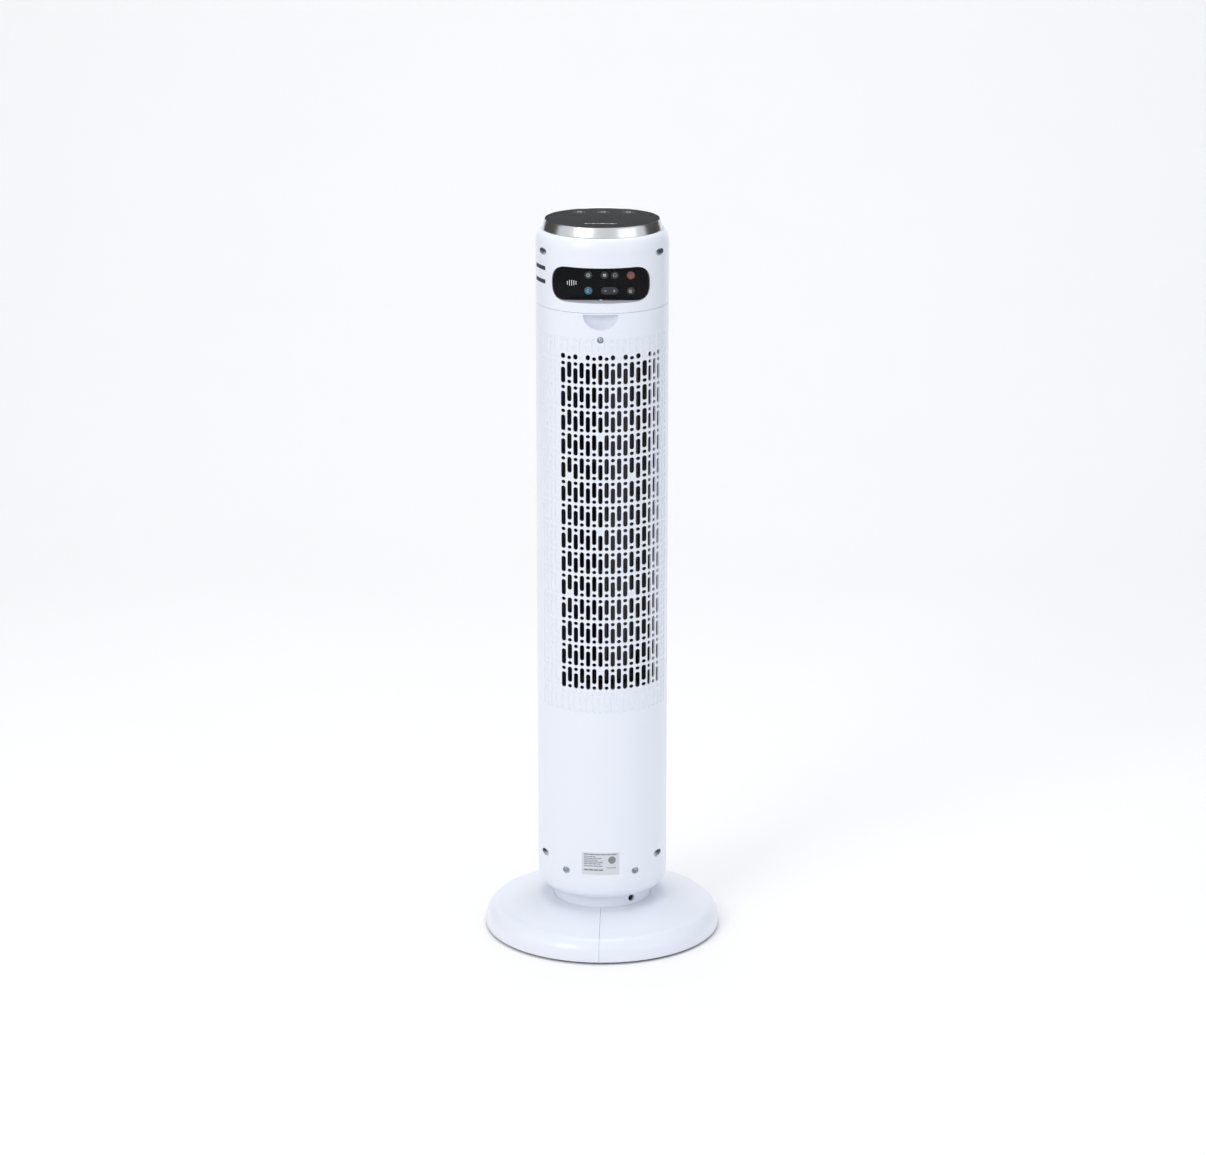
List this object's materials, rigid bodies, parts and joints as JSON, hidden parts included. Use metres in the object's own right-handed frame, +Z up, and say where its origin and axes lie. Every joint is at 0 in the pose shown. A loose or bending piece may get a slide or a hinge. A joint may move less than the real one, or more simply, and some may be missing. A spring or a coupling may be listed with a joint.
{
  "type": "tower fan",
  "caption": "White round tower fan on a two-piece round base, with a perforated intake grille, a swivelling body, a blower wheel and a remote control docked in its head.",
  "frame": {"origin": "on the floor, at the centre of the round base and of the tower", "axes": "+Z up along the tower; -Y is the rear with the intake grille and the docked remote control; +Y is the front where the air leaves; +X is to the right when the rear is seen"},
  "size_m": [0.297, 0.297, 0.915],
  "materials": {
    "white_shell": "satin-gloss moulded white",
    "grey_plastic": "moulded dark grey",
    "steel": "zinc plated",
    "bright_trim": "spun and polished",
    "black_gloss": "high gloss black",
    "black_satin": "satin black",
    "key_grey": "dark grey keys",
    "key_blue": "muted blue key",
    "key_red": "muted red key",
    "rubber": "matt black",
    "motor_case": "motor cans",
    "gear_plastic": "natural acetal",
    "circuit_board": "green solder mask",
    "bronze": "sintered bronze",
    "label": "blank silver sticker"
  },
  "bodies": {
    "base": {"base_half_left": "white_shell", "base_half_right": "white_shell", "base_screw_1": "steel", "base_screw_2": "steel", "base_screw_3": "steel", "base_screw_4": "steel", "neck_collar": "white_shell", "hub_plate": "white_shell", "foot_1": "rubber", "foot_2": "rubber", "foot_3": "rubber", "foot_4": "rubber", "swivel_washer": "gear_plastic", "sector_gear": "gear_plastic", "hub_nut": "gear_plastic"},
    "tower": {"lower_chassis": "grey_plastic", "run_capacitor": "grey_plastic", "swing_motor": "motor_case", "rear_shell": "white_shell", "front_shell": "white_shell", "shell_screw_left": "steel", "shell_screw_right": "steel", "lower_screw_left": "steel", "lower_screw_right": "steel", "grille_screw": "steel", "outlet_grille": "white_shell", "head_rear_cover": "white_shell", "head_front_cover": "white_shell", "head_screw_left": "steel", "head_screw_right": "steel", "trim_ring": "bright_trim", "control_panel": "black_gloss", "panel_carrier": "grey_plastic", "control_board": "circuit_board", "led_display": "black_satin", "wiring_harness": "black_satin", "motor_plate": "grey_plastic", "blower_motor": "motor_case", "bearing_bracket": "grey_plastic", "bearing_boot": "rubber", "bearing_bush": "bronze", "scroll_wall": "grey_plastic", "tongue_wall": "grey_plastic", "rating_label": "label"},
    "pinion": {"swing_pinion": "gear_plastic", "swing_shaft": "steel"},
    "blower": {"blower_wheel": "grey_plastic", "motor_shaft": "steel", "top_journal": "steel"},
    "remote": {"remote_case": "black_gloss", "remote_back": "black_satin", "remote_board": "circuit_board", "coin_cell": "steel"},
    "key_timer": {"key_timer": "key_grey"},
    "key_mode": {"key_mode": "key_grey"},
    "key_swing": {"key_swing": "key_grey"},
    "key_power": {"key_power": "key_red"},
    "key_night": {"key_night": "key_blue"},
    "key_breeze": {"key_breeze": "key_grey"},
    "key_speed": {"key_speed": "key_grey"}
  },
  "joints": [
    {"name": "swing", "type": "hinge", "parent": "base", "child": "tower", "pos_m": [0, 0, 0.0625], "axis": [0, 0, 1], "range_deg": [-35, 35]},
    {"name": "pinion_spin", "type": "hinge", "parent": "tower", "child": "pinion", "pos_m": [0, 0.036, 0.073], "axis": [0, 0, 1], "range_deg": [-106, 106]},
    {"name": "blower_spin", "type": "hinge", "parent": "tower", "child": "blower", "pos_m": [0, 0, 0.55], "axis": [0, 0, 1], "continuous": true},
    {"name": "remote_pull", "type": "slide", "parent": "tower", "child": "remote", "axis": [0, -1, 0], "range_m": [0, 0.05]},
    {"name": "key_timer_press", "type": "slide", "parent": "remote", "child": "key_timer", "axis": [0, 1, 0], "range_m": [0, 0.0006], "stiffness_N_per_m": 1500},
    {"name": "key_mode_press", "type": "slide", "parent": "remote", "child": "key_mode", "axis": [0, 1, 0], "range_m": [0, 0.0006], "stiffness_N_per_m": 1500},
    {"name": "key_swing_press", "type": "slide", "parent": "remote", "child": "key_swing", "axis": [0, 1, 0], "range_m": [0, 0.0006], "stiffness_N_per_m": 1500},
    {"name": "key_power_press", "type": "slide", "parent": "remote", "child": "key_power", "axis": [0, 1, 0], "range_m": [0, 0.0006], "stiffness_N_per_m": 1500},
    {"name": "key_night_press", "type": "slide", "parent": "remote", "child": "key_night", "axis": [0, 1, 0], "range_m": [0, 0.0006], "stiffness_N_per_m": 1500},
    {"name": "key_breeze_press", "type": "slide", "parent": "remote", "child": "key_breeze", "axis": [0, 1, 0], "range_m": [0, 0.0006], "stiffness_N_per_m": 1500},
    {"name": "key_speed_press", "type": "slide", "parent": "remote", "child": "key_speed", "axis": [0, 1, 0], "range_m": [0, 0.0006], "stiffness_N_per_m": 1500}
  ],
  "couplings": [
    {"joint": "pinion_spin", "follows": "swing", "ratio": 3}
  ]
}
